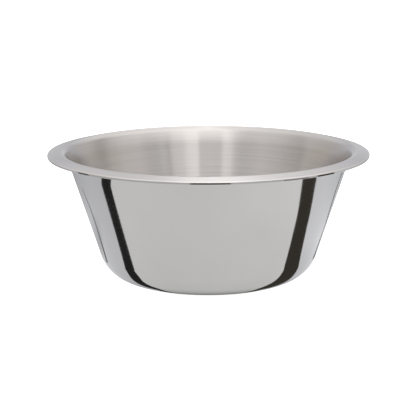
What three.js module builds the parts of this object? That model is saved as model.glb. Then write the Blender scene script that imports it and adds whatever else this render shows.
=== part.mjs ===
// A stainless-steel mixing bowl, drawn from one round of sheet: a flat base, a generous bottom
// bend, a tapered wall with a slight flare, and a broad drooping rim flange with a folded edge.
// Millimetres, +Z up. The origin is the centre of the base's underside, on the bowl's axis.
import * as THREE from "three";

// Driving dimensions.
const RIM_RADIUS = 140; // outermost edge of the hem
const HEIGHT = 113; // base underside to the highest ring of the rim
const SHEET = 0.9; // thickness of the sheet
const BASE_RADIUS = 65.5; // flat part of the base
const BOTTOM_BEND = 31; // outside radius of the bend from base to wall
const WALL_LEAN = THREE.MathUtils.degToRad(18); // wall, from the vertical
const FLARE_BEND = 90; // inside radius of the gentle flare at the wall's top
const FLARE_TURN = THREE.MathUtils.degToRad(8); // how far the flare leans out beyond the wall
const CREST_BEND = 6.5; // top radius of the bend from flare to flange
const FLANGE_DROOP = THREE.MathUtils.degToRad(13.5); // flange, below the horizontal
const HEM_THICKNESS = 2.2; // folded edge, across both layers
const HEM_WIDTH = 5; // rim edge to the end of the folded layer
const HEM_NOSE = 1; // rounding of the hem's edge at the top
const HEM_CORNER = 0.3; // rounding of the hem's edge at the bottom, below a short flat

// How finely the round stretches are divided.
const SEGMENTS = 72; // round the axis
const BOTTOM_STEPS = 9; // along the bottom bend
const FLARE_STEPS = 2; // along the flare
const CREST_STEPS = 5; // along the crest bend
const NOSE_STEPS = 4; // along the hem's round nose
const CORNER_STEPS = 3; // along the hem's lower corner

// Directions of the surface normals, as angles in the (radius, height) plane.
const DOWN = -Math.PI / 2;
const UP = Math.PI / 2;
const WALL_OUT = -WALL_LEAN;
const WALL_IN = Math.PI - WALL_LEAN;
const FLARE_IN = WALL_IN - FLARE_TURN;
const FLANGE_UP = UP - FLANGE_DROOP;
const FLANGE_DOWN = FLANGE_UP - Math.PI;

// The point at a distance from a centre, in the direction of an angle.
function offset(centre, distance, angle) {
  const step = new THREE.Vector2(Math.cos(angle), Math.sin(angle));
  return step.multiplyScalar(distance).add(centre);
}

// Points of an arc from one angle to another, both ends included.
function arc(centre, radius, from, to, steps) {
  const points = [];
  for (let i = 0; i <= steps; i++) {
    points.push(offset(centre, radius, from + ((to - from) * i) / steps));
  }
  return points;
}

// Centre of the bottom bend, shared by its outer and inner surfaces.
function bottomBendCentre() {
  return new THREE.Vector2(BASE_RADIUS, BOTTOM_BEND);
}

// Centre of the crest bend: as high as the rim allows, and as far out as the wall and flare need.
function crestBendCentre() {
  const height = HEIGHT - CREST_BEND;
  const flareOffset = (FLARE_BEND - CREST_BEND) * (1 - Math.cos(FLARE_TURN));
  const acrossWall = BOTTOM_BEND + CREST_BEND - SHEET + flareOffset;
  const rise = (height - BOTTOM_BEND) * Math.sin(WALL_LEAN);
  const radius = BASE_RADIUS + (acrossWall + rise) / Math.cos(WALL_LEAN);
  return new THREE.Vector2(radius, height);
}

// Centre of the flare, outside the wall, where the flare meets the crest bend smoothly.
function flareBendCentre() {
  return offset(crestBendCentre(), CREST_BEND - FLARE_BEND, FLARE_IN);
}

// Centre of the hem's round nose, which touches the flange's top line and the rim radius.
function hemNoseCentre() {
  const start = offset(crestBendCentre(), CREST_BEND - HEM_NOSE, FLANGE_UP);
  const run = (RIM_RADIUS - HEM_NOSE - start.x) / Math.cos(FLANGE_DROOP);
  return offset(start, run, -FLANGE_DROOP);
}

// Centre of the hem's lower corner, straight below the nose across the hem.
function hemCornerCentre() {
  const below = offset(hemNoseCentre(), HEM_THICKNESS - HEM_NOSE - HEM_CORNER, FLANGE_DOWN);
  return offset(below, HEM_NOSE - HEM_CORNER, -FLANGE_DROOP);
}

// Outer surface: base underside, bottom bend, wall, and the flange's underside as far as the hem.
function outerOutline() {
  const foldEnd = offset(hemNoseCentre(), HEM_WIDTH - HEM_NOSE, Math.PI - FLANGE_DROOP);
  return [
    new THREE.Vector2(0, 0),
    ...arc(bottomBendCentre(), BOTTOM_BEND, DOWN, WALL_OUT, BOTTOM_STEPS),
    ...arc(flareBendCentre(), FLARE_BEND - SHEET, WALL_IN, FLARE_IN, FLARE_STEPS),
    ...arc(crestBendCentre(), CREST_BEND - SHEET, FLARE_IN, FLANGE_UP, CREST_STEPS).slice(1),
    offset(foldEnd, HEM_NOSE - SHEET, FLANGE_UP),
    offset(foldEnd, HEM_THICKNESS - HEM_NOSE, FLANGE_DOWN),
  ];
}

// The hem's edge, from its lower corner up the short flat and round the nose to the flange's top.
function hemOutline() {
  const nose = hemNoseCentre();
  return [
    ...arc(hemCornerCentre(), HEM_CORNER, FLANGE_DOWN, -FLANGE_DROOP, CORNER_STEPS),
    offset(nose, HEM_NOSE, -FLANGE_DROOP),
    ...arc(nose, HEM_NOSE, 0, FLANGE_UP, NOSE_STEPS),
  ];
}

// Inner surface: over the crest, down the wall and round the bottom bend to the floor's centre.
function innerOutline() {
  const crest = crestBendCentre();
  return [
    ...arc(crest, CREST_BEND, FLANGE_UP, UP, 1),
    ...arc(crest, CREST_BEND, UP, FLARE_IN, CREST_STEPS).slice(1),
    ...arc(flareBendCentre(), FLARE_BEND, FLARE_IN, WALL_IN, FLARE_STEPS).slice(1),
    ...arc(bottomBendCentre(), BOTTOM_BEND - SHEET, WALL_OUT, DOWN, BOTTOM_STEPS),
    new THREE.Vector2(0, SHEET),
  ];
}

// The bowl's whole wall section, turned about +Z.
function bowlGeometry() {
  const outline = [...outerOutline(), ...hemOutline(), ...innerOutline()];
  return new THREE.LatheGeometry(outline, SEGMENTS).rotateX(Math.PI / 2);
}

// Polished stainless steel.
function stainlessSteel() {
  return new THREE.MeshStandardMaterial({
    name: "stainless_steel",
    color: 0xc8c5c1,
    metalness: 1,
    roughness: 0.2,
  });
}

const bowl = new THREE.Mesh(bowlGeometry(), stainlessSteel());
bowl.name = "bowl_shell";

const mixingBowl = new THREE.Group();
mixingBowl.name = "mixing_bowl";
mixingBowl.add(bowl);

export default mixingBowl;
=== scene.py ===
import math

import bmesh
import bpy
from mathutils import Matrix, Vector


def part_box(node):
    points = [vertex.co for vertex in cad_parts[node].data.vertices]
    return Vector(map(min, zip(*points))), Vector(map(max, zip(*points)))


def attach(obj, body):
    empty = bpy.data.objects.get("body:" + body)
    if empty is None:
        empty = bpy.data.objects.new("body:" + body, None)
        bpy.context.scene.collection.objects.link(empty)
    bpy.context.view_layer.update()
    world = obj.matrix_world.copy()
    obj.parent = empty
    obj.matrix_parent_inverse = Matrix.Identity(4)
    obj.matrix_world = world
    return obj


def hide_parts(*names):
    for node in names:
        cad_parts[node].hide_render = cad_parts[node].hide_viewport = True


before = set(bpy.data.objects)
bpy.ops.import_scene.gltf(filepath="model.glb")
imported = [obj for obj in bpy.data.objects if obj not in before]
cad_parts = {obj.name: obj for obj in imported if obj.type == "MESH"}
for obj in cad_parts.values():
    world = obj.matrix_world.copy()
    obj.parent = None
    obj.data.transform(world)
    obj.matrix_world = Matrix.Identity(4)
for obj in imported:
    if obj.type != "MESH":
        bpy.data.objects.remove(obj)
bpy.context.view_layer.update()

# The bowl's driving dimensions, in metres. Its overall size comes from the frame.
BOWL_LOW, BOWL_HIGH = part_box("bowl_shell")
RIM_RADIUS = BOWL_HIGH.x
HEIGHT = BOWL_HIGH.z
SHEET = 0.0009
BASE_RADIUS = 0.0655
BOTTOM_BEND = 0.031
WALL_LEAN = math.radians(18)
FLARE_BEND = 0.090
FLARE_TURN = math.radians(8)
CREST_BEND = 0.0065
FLANGE_DROOP = math.radians(13.5)
HEM_THICKNESS = 0.0022
HEM_WIDTH = 0.005
HEM_NOSE = 0.001
HEM_CORNER = 0.0003
FOLD_ROUNDING = 0.0003

# How finely the bowl is divided.
SEGMENTS = 360
ARC_STEP = math.radians(4)
STRAIGHT_STEPS = 6
LONG_STRETCH = 4 * SHEET

# Directions of the surface normals, as angles in the (radius, height) plane.
DOWN = -math.pi / 2
UP = math.pi / 2
WALL_OUT = -WALL_LEAN
WALL_IN = math.pi - WALL_LEAN
FLARE_IN = WALL_IN - FLARE_TURN
FLANGE_UP = UP - FLANGE_DROOP
FLANGE_DOWN = FLANGE_UP - math.pi
FOLD_END = FLANGE_UP + math.pi / 2

# The bowl's two finishes, as material slots.
POLISHED, BRUSHED = 0, 1

# Painted highlight: the hem's edge is painted lighter from the first of these radii to the second.
EDGE_HIGHLIGHT_START = RIM_RADIUS - 0.002
EDGE_HIGHLIGHT_FULL = RIM_RADIUS - 0.0005

# Heights of the staging, in millimetres: each layer of the table lies just above the one before.
FLOOR_HEIGHT = -0.5
GAP_HEIGHT = -0.4
TABLE_HEIGHT = -0.2
MARK_HEIGHT = -0.1

# Camera: a long lens a little above the rim.
CAMERA_DISTANCE = 1.4
CAMERA_ELEVATION = math.radians(11.95)
CAMERA_ROLL = math.radians(-0.19)
CAMERA_TARGET = Vector((-0.0005, 0, 0.0604))
CAMERA_LENS = 138.0


# ---- The bowl's section ----


def along(angle, distance=1.0):
    """A step in the (radius, height) plane."""
    return Vector((math.cos(angle), math.sin(angle))) * distance


def arc(centre, radius, start, stop, hollow=False):
    """Points of an arc, each with its surface normal. A hollow arc's normals point to its centre."""
    steps = max(1, round(abs(stop - start) / ARC_STEP))
    side = -1 if hollow else 1
    angles = [start + (stop - start) * i / steps for i in range(steps + 1)]
    return [(centre + along(a, radius), along(a) * side) for a in angles]


def bottom_bend_centre():
    return Vector((BASE_RADIUS, BOTTOM_BEND))


def crest_bend_centre():
    """As high as the rim allows, and as far out as the wall and the flare need."""
    height = HEIGHT - CREST_BEND
    flare_offset = (FLARE_BEND - CREST_BEND) * (1 - math.cos(FLARE_TURN))
    across_wall = BOTTOM_BEND + CREST_BEND - SHEET + flare_offset
    rise = (height - BOTTOM_BEND) * math.sin(WALL_LEAN)
    return Vector((BASE_RADIUS + (across_wall + rise) / math.cos(WALL_LEAN), height))


def flare_bend_centre():
    """Outside the wall, where the flare meets the crest bend smoothly."""
    return crest_bend_centre() + along(FLARE_IN, CREST_BEND - FLARE_BEND)


def hem_nose_centre():
    """Where the hem's round nose touches both the flange's top line and the rim radius."""
    start = crest_bend_centre() + along(FLANGE_UP, CREST_BEND - HEM_NOSE)
    run = (RIM_RADIUS - HEM_NOSE - start.x) / math.cos(FLANGE_DROOP)
    return start + along(-FLANGE_DROOP, run)


def hem_corner_centre():
    """The rounding at the foot of the short flat below the nose."""
    below = hem_nose_centre() + along(FLANGE_DOWN, HEM_THICKNESS - HEM_NOSE - HEM_CORNER)
    return below + along(-FLANGE_DROOP, HEM_NOSE - HEM_CORNER)


def outer_section():
    """Base underside, bottom bend, wall, flare, flange underside and the hem up to the rim edge."""
    nose = hem_nose_centre()
    fold = nose + along(math.pi - FLANGE_DROOP, HEM_WIDTH - HEM_NOSE)
    inner_corner = fold + along(FLANGE_UP, HEM_NOSE - SHEET)
    outer_corner = fold + along(FLANGE_DOWN, HEM_THICKNESS - HEM_NOSE)
    back = along(FOLD_END, -FOLD_ROUNDING)
    rise = along(FLANGE_UP, FOLD_ROUNDING)
    root = inner_corner - rise - back
    tip = outer_corner + rise + back
    return [
        (Vector((0, 0)), along(DOWN)),
        *arc(bottom_bend_centre(), BOTTOM_BEND, DOWN, WALL_OUT),
        *arc(flare_bend_centre(), FLARE_BEND - SHEET, WALL_IN, FLARE_IN, hollow=True),
        *arc(crest_bend_centre(), CREST_BEND - SHEET, FLARE_IN, FLANGE_UP, hollow=True)[1:],
        *arc(root, FOLD_ROUNDING, FLANGE_UP, FLANGE_UP - math.pi / 2, hollow=True),
        *arc(tip, FOLD_ROUNDING, FOLD_END, FLANGE_DOWN + 2 * math.pi),
        *arc(hem_corner_centre(), HEM_CORNER, FLANGE_DOWN, -FLANGE_DROOP),
        *arc(nose, HEM_NOSE, -FLANGE_DROOP, 0),
    ]


def inner_section():
    """The hem's upper edge, the flange's top, the crest, the flare, the wall and the floor."""
    return [
        *arc(hem_nose_centre(), HEM_NOSE, 0, FLANGE_UP),
        *arc(crest_bend_centre(), CREST_BEND, FLANGE_UP, UP),
        *arc(crest_bend_centre(), CREST_BEND, UP, FLARE_IN)[1:],
        *arc(flare_bend_centre(), FLARE_BEND, FLARE_IN, WALL_IN)[1:],
        *arc(bottom_bend_centre(), BOTTOM_BEND - SHEET, WALL_OUT, DOWN, hollow=True),
        (Vector((0, SHEET)), along(UP)),
    ]


def subdivided(section):
    """The section with its long straight stretches divided, so that no face is a long sliver."""
    points = [section[0]]
    for before, after in zip(section, section[1:]):
        length = (after[0] - before[0]).length
        steps = STRAIGHT_STEPS if length > LONG_STRETCH else 1
        for i in range(1, steps + 1):
            share = i / steps
            normal = before[1].lerp(after[1], share).normalized()
            points.append((before[0].lerp(after[0], share), normal))
    return points


# ---- The bowl's mesh ----


def make_ring(mesh, point):
    """One ring of vertices round +Z, or a single vertex on the axis."""
    if point.x == 0:
        return [mesh.verts.new((0, 0, point.y))]
    turns = [2 * math.pi * i / SEGMENTS for i in range(SEGMENTS)]
    return [mesh.verts.new((point.x * math.cos(t), point.x * math.sin(t), point.y)) for t in turns]


def join_rings(mesh, low, high, material):
    """Faces between two neighbouring rings of the section."""
    for i in range(SEGMENTS):
        j = (i + 1) % SEGMENTS
        corners = [low[i % len(low)], low[j % len(low)], high[j % len(high)], high[i % len(high)]]
        face = mesh.faces.new(list(dict.fromkeys(corners)))
        face.smooth = True
        face.material_index = material


def ring_normals(ring, normal):
    """The exact normals of a ring's vertices."""
    found = []
    for vertex in ring:
        across = Vector((vertex.co.x, vertex.co.y, 0))
        across = across.normalized() if across.length > 0 else across
        found.append((across * normal.x + Vector((0, 0, normal.y))).normalized())
    return found


def make_bowl():
    """The whole pressing: one closed shell, turned from its section, with exact normals."""
    outer, inner = subdivided(outer_section()), subdivided(inner_section())
    section = outer + inner[1:]
    mesh = bmesh.new()
    rings = [make_ring(mesh, point) for point, _ in section]
    normals = [n for ring, (_, normal) in zip(rings, section) for n in ring_normals(ring, normal)]
    for i, (low, high) in enumerate(zip(rings, rings[1:])):
        join_rings(mesh, low, high, POLISHED if i < len(outer) - 1 else BRUSHED)
    data = bpy.data.meshes.new("bowl")
    mesh.to_mesh(data)
    mesh.free()
    data.normals_split_custom_set_from_vertices(normals)
    bowl = bpy.data.objects.new("bowl", data)
    bpy.context.scene.collection.objects.link(bowl)
    return bowl


# ---- Materials ----


class Nodes:
    """A node tree, with short ways to add nodes and link them."""

    def __init__(self, tree):
        self.tree = tree

    def add(self, kind, **settings):
        node = self.tree.nodes.new(kind)
        for name, value in settings.items():
            setattr(node, name, value)
        return node

    def feed(self, socket, value):
        if isinstance(value, bpy.types.NodeSocket):
            self.tree.links.new(value, socket)
        else:
            socket.default_value = value

    def math(self, operation, first, second=0.0):
        node = self.add("ShaderNodeMath", operation=operation)
        self.feed(node.inputs[0], first)
        self.feed(node.inputs[1], second)
        return node.outputs[0]

    def position(self):
        return self.add("ShaderNodeTexCoord").outputs["Object"]

    def split(self, vector):
        node = self.add("ShaderNodeSeparateXYZ")
        self.feed(node.inputs[0], vector)
        return node.outputs

    def join(self, x, y, z):
        node = self.add("ShaderNodeCombineXYZ")
        for socket, value in zip(node.inputs, (x, y, z)):
            self.feed(socket, value)
        return node.outputs[0]

    def radius(self, x, y):
        return self.math("SQRT", self.math("ADD", self.math("MULTIPLY", x, x), self.math("MULTIPLY", y, y)))

    def remap(self, value, start, stop, low, high, kind="LINEAR"):
        node = self.add("ShaderNodeMapRange", interpolation_type=kind)
        for name, number in (("From Min", start), ("From Max", stop), ("To Min", low), ("To Max", high)):
            self.feed(node.inputs[name], number)
        self.feed(node.inputs["Value"], value)
        return node.outputs["Result"]

    def degrees(self, angle):
        return self.math("DEGREES", angle)

    def profile(self, value, stops):
        """Straight lines between (value, level) stops, for levels up to 2."""
        start, stop = stops[0][0], stops[-1][0]
        ramp = self.add("ShaderNodeValToRGB")
        self.feed(ramp.inputs["Fac"], self.remap(value, start, stop, 0, 1))
        elements = ramp.color_ramp.elements
        while len(elements) < len(stops):
            elements.new(1.0)
        for element, (place, level) in zip(elements, stops):
            element.position = (place - start) / (stop - start)
            element.color = (level / 2, level / 2, level / 2, 1)
        return self.math("MULTIPLY", ramp.outputs["Color"], 2.0)

    def noise(self, position, scale=1.0, detail=2.0):
        node = self.add("ShaderNodeTexNoise")
        self.feed(node.inputs["Vector"], position)
        self.feed(node.inputs["Scale"], scale)
        self.feed(node.inputs["Detail"], detail)
        return node.outputs["Fac"]

    def spread(self, value, low, high):
        """A noise value, which lies mostly from 0.25 to 0.75, spread from low to high."""
        return self.remap(value, 0.25, 0.75, low, high)

    def blend(self, share, first, second):
        node = self.add("ShaderNodeMix", data_type="FLOAT")
        self.feed(node.inputs["Factor"], share)
        self.feed(node.inputs["A"], first)
        self.feed(node.inputs["B"], second)
        return node.outputs["Result"]

    def blend_colours(self, share, first, second):
        node = self.add("ShaderNodeMix", data_type="RGBA")
        self.feed(node.inputs["Factor"], share)
        for name, colour in (("A", first), ("B", second)):
            self.feed(node.inputs[name], (*colour, 1) if isinstance(colour, tuple) else colour)
        return node.outputs["Result"]

    def bump(self, height, distance, before=None):
        node = self.add("ShaderNodeBump")
        self.feed(node.inputs["Height"], height)
        self.feed(node.inputs["Distance"], distance)
        if before is not None:
            self.feed(node.inputs["Normal"], before)
        return node.outputs["Normal"]

    def turning_marks(self, around, across, detail=2.0):
        """Noise stretched along the turning marks: slow round the axis, quick across them."""
        x, y, z = self.split(self.position())
        outwards = self.math("MULTIPLY", self.math("ADD", self.radius(x, y), z), across)
        return self.noise(self.join(
            self.math("MULTIPLY", x, around), self.math("MULTIPLY", y, around), outwards), 1.0, detail)


class Steel(Nodes):
    """A new metal material."""

    def __init__(self, name):
        self.material = bpy.data.materials.new(name)
        self.material.use_nodes = True
        super().__init__(self.material.node_tree)
        self.set("Metallic", 1.0)

    def set(self, name, value):
        self.feed(self.tree.nodes["Principled BSDF"].inputs[name], value)


def polished_steel():
    """The outside: buffed almost to a mirror, with faint polishing lines and a slight unevenness."""
    steel = Steel("polished_steel")
    haze = steel.noise(steel.position(), 22)
    unevenness = steel.noise(steel.position(), 9, 1)
    lines = steel.turning_marks(12, 1400)
    steel.set("Base Color", steel.blend_colours(
        steel.spread(haze, 0, 1), (0.515, 0.51, 0.50), (0.535, 0.53, 0.52)))
    steel.set("Roughness", steel.math(
        "ADD", steel.spread(haze, 0.04, 0.07), steel.spread(lines, 0, 0.02)))
    steel.set("Normal", steel.bump(lines, 0.000001, steel.bump(unevenness, 0.00003)))
    return steel.material


def brushed_steel():
    """The inside and the rim's top: satin, with fine turning lines that stretch each highlight, and a
    painted highlight along the hem's edge.
    """
    steel = Steel("brushed_steel")
    fine = steel.math("MULTIPLY", steel.turning_marks(10, 1800), 0.5)
    coarse = steel.math("MULTIPLY", steel.turning_marks(4, 380), 0.5)
    marks = steel.math("ADD", fine, coarse)
    x, y, _ = steel.split(steel.position())
    # Painted highlight: the base colour turns lighter towards the hem's edge, which brightens the highlight
    # along the rim.
    edge = steel.remap(steel.radius(x, y), EDGE_HIGHLIGHT_START, EDGE_HIGHLIGHT_FULL, 0, 1)
    body = steel.blend_colours(
        steel.spread(marks, 0, 1), (0.53, 0.509, 0.499), (0.60, 0.577, 0.566))
    steel.set("Base Color", steel.blend_colours(edge, body, (0.65, 0.63, 0.62)))
    steel.set("Roughness", steel.spread(marks, 0.17, 0.21))
    steel.set("Anisotropic", 1.0)
    steel.set("Anisotropic Rotation", 0.25)
    tangent = steel.add("ShaderNodeTangent", direction_type="RADIAL", axis="Z")
    steel.set("Tangent", tangent.outputs[0])
    steel.set("Normal", steel.bump(marks, 0.000006))
    return steel.material


# ---- Studio ----

# Outlines on the table are in millimetres, and places inside its materials in metres. The tent's
# bearings and elevations are in degrees: bearing 0 is towards the camera, and +X is at 90.


def glow(name, strength=1.0):
    """A surface that glows white, at a known strength."""
    material = bpy.data.materials.new(name)
    material.use_nodes = True
    nodes = Nodes(material.node_tree)
    material.node_tree.nodes.remove(material.node_tree.nodes["Principled BSDF"])
    light = nodes.add("ShaderNodeEmission")
    nodes.feed(light.inputs["Strength"], strength)
    nodes.feed(material.node_tree.nodes["Material Output"].inputs["Surface"], light.outputs[0])
    return material


def set_glow(material, **values):
    """Set or link the inputs of a glowing material's light."""
    nodes = Nodes(material.node_tree)
    for name, value in values.items():
        nodes.feed(material.node_tree.nodes["Emission"].inputs[name], value)


def flat(points, height):
    """Corners at one height, from millimetres."""
    return [(x / 1000, y / 1000, height / 1000) for x, y in points]


def smooth(points, steps=6):
    """A Catmull-Rom curve through the points."""
    known = [Vector(point) for point in points]
    ends = [known[0], *known, known[-1]]
    curve = []
    for before, start, stop, after in zip(ends, ends[1:], ends[2:], ends[3:]):
        for step in range(steps):
            t = step / steps
            bend = (2 * before - 5 * start + 4 * stop - after) * t ** 2
            twist = (3 * start - before - 3 * stop + after) * t ** 3
            curve.append((2 * start + (stop - before) * t + bend + twist) / 2)
    return curve + [known[-1]]


def ribbon(points, width):
    """Outline of a ribbon that follows the points, with its width measured along Y."""
    near = [(x, y - width / 2) for x, y in points]
    far = [(x, y + width / 2) for x, y in points]
    return near + far[::-1]


def add_sheet(name, corners, material):
    """A flat staging sheet, such as the floor."""
    data = bpy.data.meshes.new(name)
    data.from_pydata(corners, [], [list(range(len(corners)))])
    sheet = bpy.data.objects.new(name, data)
    sheet.data.materials.append(material)
    bpy.context.scene.collection.objects.link(sheet)
    return sheet


def add_card(name, corners, material):
    """A sheet that stands in for the studio's boards, which only the metal's reflections show."""
    card = add_sheet(name, corners, material)
    card.visible_camera = False
    card.visible_diffuse = False
    card.visible_shadow = False
    return card


def add_floor():
    """A white table, lit from below as well, so that hardly a shadow is left on it."""
    half = 8000
    material = bpy.data.materials.new("white_table")
    material.use_nodes = True
    surface = material.node_tree.nodes["Principled BSDF"]
    nodes = Nodes(material.node_tree)
    grain = nodes.noise(nodes.position(), 300)
    nodes.feed(surface.inputs["Base Color"], nodes.blend_colours(grain, (0.78,) * 3, (0.8,) * 3))
    nodes.feed(surface.inputs["Roughness"], 0.9)
    nodes.feed(surface.inputs["Emission Color"], (1, 1, 1, 1))
    nodes.feed(surface.inputs["Emission Strength"], 0.95)
    corners = [(-half, -half), (half, -half), (half, half), (-half, half)]
    floor = add_sheet("floor", flat(corners, FLOOR_HEIGHT), material)
    floor.visible_glossy = False


def table_gap_material():
    """The dark between the table's parts: brown on the right, nearly black on the left, grey far left."""
    material = glow("table_gap")
    nodes = Nodes(material.node_tree)
    x, _, _ = nodes.split(nodes.position())
    share = nodes.remap(x, -0.05, 0.05, 0, 1)
    set_glow(
        material, Strength=nodes.remap(x, -0.27, -0.25, 6, 1),
        Color=nodes.blend_colours(share, (0.026, 0.026, 0.026), (0.055, 0.050, 0.041)))
    return material


def rear_table_material():
    """Painted shade: darker on the left, where less light falls, and towards the back, with a painted
    contact shadow near the bowl and the bowl's painted shadow behind it on the left.
    """
    material = glow("rear_table")
    nodes = Nodes(material.node_tree)
    x, y, _ = nodes.split(nodes.position())
    radius = nodes.radius(x, y)
    # Painted shade: darker on the left, where less light falls.
    left = nodes.remap(radius, 0.11, 0.15, 0.96, 0.83)
    across = nodes.remap(x, -0.13, 0.13, left, 1.0, "SMOOTHSTEP")
    # Painted contact shadow: dark next to the bowl, lighter outwards.
    outwards = nodes.profile(radius, (
        (0.078, 0.52), (0.086, 0.76), (0.095, 0.83), (0.108, 0.9), (0.126, 0.95), (0.15, 1.03),
        (0.26, 0.955)))
    backwards = nodes.profile(y, ((0.05, 1), (0.12, 0.9), (0.2, 0.76), (0.3, 0.6), (0.6, 0.5)))
    strength = nodes.math("MULTIPLY", across, nodes.math("MULTIPLY", outwards, backwards))
    # Painted shadow of the bowl, behind it on the left.
    fade = nodes.remap(radius, 0.15, 0.21, 1, 0)
    behind = nodes.math("MULTIPLY", nodes.remap(y, 0.02, 0.05, 0, 1), fade)
    shadow = nodes.math("MULTIPLY", behind, nodes.remap(x, -0.09, 0.09, 0.3, 0))
    strength = nodes.math("MULTIPLY", strength, nodes.math("SUBTRACT", 1, shadow))
    set_glow(material, Strength=strength, Color=(0.965, 0.974, 1.01, 1))
    return material


def front_card_material():
    """Painted light and shade: brighter on the right, where more light falls, a painted contact shadow
    where the bowl's base meets it, and dimmer far out.
    """
    material = glow("front_card")
    nodes = Nodes(material.node_tree)
    x, y, _ = nodes.split(nodes.position())
    # Painted light: brighter on the right.
    across = nodes.profile(x, ((-0.2, 0.95), (0, 0.95), (0.2, 1.03)))
    # Painted contact shadow: dark where the bowl's base meets the card, lighter outwards, then dimmer far
    # out.
    outwards = nodes.profile(nodes.radius(x, y), (
        (0.066, 0.08), (0.072, 0.15), (0.076, 0.4), (0.079, 0.62), (0.083, 0.84), (0.087, 0.9),
        (0.1, 0.955), (0.13, 0.975), (0.2, 1), (0.225, 1), (0.25, 0.72), (0.3, 0.7)))
    set_glow(material, Strength=nodes.math("MULTIPLY", across, outwards))
    return material


def add_table_cards():
    """The table as the bowl mirrors it: a white front, a dark gap, and a grey rear with two seams."""
    far = 4000  # beyond all that the bowl mirrors clearly
    everywhere = [(-far, -far), (far, -far), (far, far), (-far, far)]
    front_left = smooth([(-200, -65), (-90, -68), (-61, -65), (-45, -68)])
    front_right = smooth([(45, -68), (66, -65), (91, -67), (144, -68), (197, -76), (300, -120)])
    front = [(-far, -64), *front_left, *front_right, (far, -900), (far, -far), (-far, -far)]
    rear_left = smooth([(-236, -24), (-154, -41), (-95, -52), (-67, -53), (-45, -63)])
    rear_right = smooth([(45, -62), (59, -52), (74, -43), (99, -38), (157, -26), (216, -21), (320, -35)])
    rear = [(-far, 700), *rear_left, *rear_right, (far, 250), (far, far), (-far, far)]
    add_card("table_gap", flat(everywhere, GAP_HEIGHT), table_gap_material())
    add_card("front_card", flat(front, TABLE_HEIGHT), front_card_material())
    add_card("rear_table", flat(rear, TABLE_HEIGHT), rear_table_material())
    for name, width, strength, points in (
        ("left_seam", 11, 0.2, [(-110, 6), (-131, 26), (-181, 71), (-207, 104), (-235, 160)]),
        ("right_seam", 24, 0.12, [(112, 30), (141, 93), (161, 134), (216, 190), (262, 270)]),
    ):
        add_card(name, flat(ribbon(smooth(points), width), MARK_HEIGHT), glow(name, strength))


def add_front_shades():
    """Small dark sheets of painted shade on the table, which the flat of the hem's edge mirrors as short
    dark dashes under the rim.
    """
    for name, strength, corners in (
        ("front_shade", 0.04, [(-43, -225), (54, -225), (76, -420), (-67, -420)]),
        ("side_shade", 0.3, [(187, -199), (245, -132), (268, -149), (213, -219)]),
    ):
        add_card(name, flat(corners, MARK_HEIGHT), glow(name, strength))


def strip_share(nodes, bearing):
    """How much of each bearing is the bright strip overhead, and not the tent's dimmer sides."""
    return nodes.profile(bearing, (
        (-180, 0.9), (-177, 1), (-175, 0.7), (-173, 0.25), (-165, 0), (-130, 0), (-75, 0.2),
        (-55, 0.2), (-40, 0.25), (-25, 0.65), (-18, 1), (20, 1), (45, 0.68), (60, 0.6), (80, 0.5),
        (105, 0.35), (135, 0.2), (160, 0.1), (172, 0.5), (174, 0.75), (176, 1), (180, 0.9)))


def strip_light(nodes, elevation):
    """The bright strip, brightest from 42 degrees up."""
    return nodes.profile(elevation, (
        (0, 0.64), (20, 0.66), (26, 0.85), (31, 1.16), (36, 1.6), (42, 1.78), (56, 1.76), (90, 1.7)))


def side_light(nodes, elevation):
    """The tent's sides, which brighten slowly upwards."""
    return nodes.profile(elevation, (
        (0, 0.66), (17, 0.69), (24, 0.87), (30, 0.92), (45, 1.0), (56, 1.1), (70, 1.25), (90, 1.55)))


def upright_bands(nodes, bearing):
    """Soft upright bands, light and dark, which make the fan on the bowl's inside."""
    return nodes.profile(bearing, (
        (-180, 1), (-160, 1), (-98, 0.96), (-92, 0.75), (-77, 0.83), (-70, 0.9), (-50, 0.98),
        (-42, 0.88), (-30, 0.76), (-24, 0.93), (-21, 1.26), (-14, 1.23), (-12, 0.77), (8, 0.79),
        (10, 1.42), (19, 1.34), (24, 1.02), (34, 0.98), (36, 0.62), (39, 0.66), (42, 0.86), (48, 0.72),
        (58, 0.78), (66, 0.98), (84, 1.04), (97, 0.95), (106, 0.74), (112, 0.80), (125, 1.07),
        (160, 0.96), (180, 1.16)))


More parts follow.
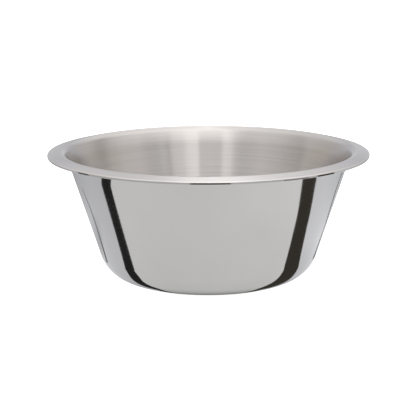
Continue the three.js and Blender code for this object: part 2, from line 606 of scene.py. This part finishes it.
def tent_tint(nodes, elevation, turn, low):
    """Slightly warm, warmer low at the sides, and slightly cool low at the back."""
    behind = nodes.math("MULTIPLY", low, nodes.remap(turn, 110, 160, 0, 1))
    beside = nodes.math(
        "MULTIPLY", nodes.remap(elevation, 8, 24, 1, 0),
        nodes.profile(turn, ((0, 0), (50, 0.2), (90, 1), (120, 1), (145, 0), (180, 0))))
    tint = nodes.blend_colours(behind, (1, 0.985, 0.97), (0.96, 0.97, 1.01))
    return nodes.blend_colours(beside, tint, (1, 0.93, 0.84))


def set_world():
    """A light tent round the bowl. The camera sees plain white in its place."""
    world = bpy.data.worlds.new("tent")
    world.use_nodes = True
    bpy.context.scene.world = world
    nodes = Nodes(world.node_tree)
    x, y, z = nodes.split(nodes.add("ShaderNodeTexCoord").outputs["Generated"])
    elevation = nodes.degrees(nodes.math("ARCSINE", z))
    bearing = nodes.degrees(nodes.math("ARCTAN2", x, nodes.math("MULTIPLY", y, -1)))
    turn = nodes.math("ABSOLUTE", bearing)
    low = nodes.profile(elevation, ((0, 1), (24, 1), (42, 0), (90, 0)))
    tent = nodes.blend(
        strip_share(nodes, bearing), side_light(nodes, elevation), strip_light(nodes, elevation))
    seen = nodes.math("MULTIPLY", tent, nodes.blend(low, 1.0, upright_bands(nodes, bearing)))
    by_camera = nodes.add("ShaderNodeLightPath").outputs["Is Camera Ray"]
    background = world.node_tree.nodes["Background"]
    nodes.feed(background.inputs["Strength"], nodes.blend(by_camera, seen, 1.0))
    tint = tent_tint(nodes, elevation, turn, low)
    nodes.feed(background.inputs["Color"], nodes.blend_colours(by_camera, tint, (1, 1, 1)))


def make_camera():
    """A long lens in front of the bowl, a little above its rim."""
    data = bpy.data.cameras.new("camera")
    data.lens = CAMERA_LENS
    data.sensor_width = 36
    data.clip_end = 50
    camera = bpy.data.objects.new("camera", data)
    back = Vector((0, -math.cos(CAMERA_ELEVATION), math.sin(CAMERA_ELEVATION)))
    turn = (-back).to_track_quat("-Z", "Y").to_matrix() @ Matrix.Rotation(CAMERA_ROLL, 3, "Z")
    camera.matrix_world = Matrix.Translation(CAMERA_TARGET + back * CAMERA_DISTANCE) @ turn.to_4x4()
    bpy.context.scene.collection.objects.link(camera)
    bpy.context.scene.camera = camera


bowl = make_bowl()
bowl.data.materials.append(polished_steel())
bowl.data.materials.append(brushed_steel())
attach(bowl, "root")
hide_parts("bowl_shell")

add_floor()
add_table_cards()
add_front_shades()
set_world()
make_camera()
bpy.context.scene.view_settings.view_transform = "Standard"
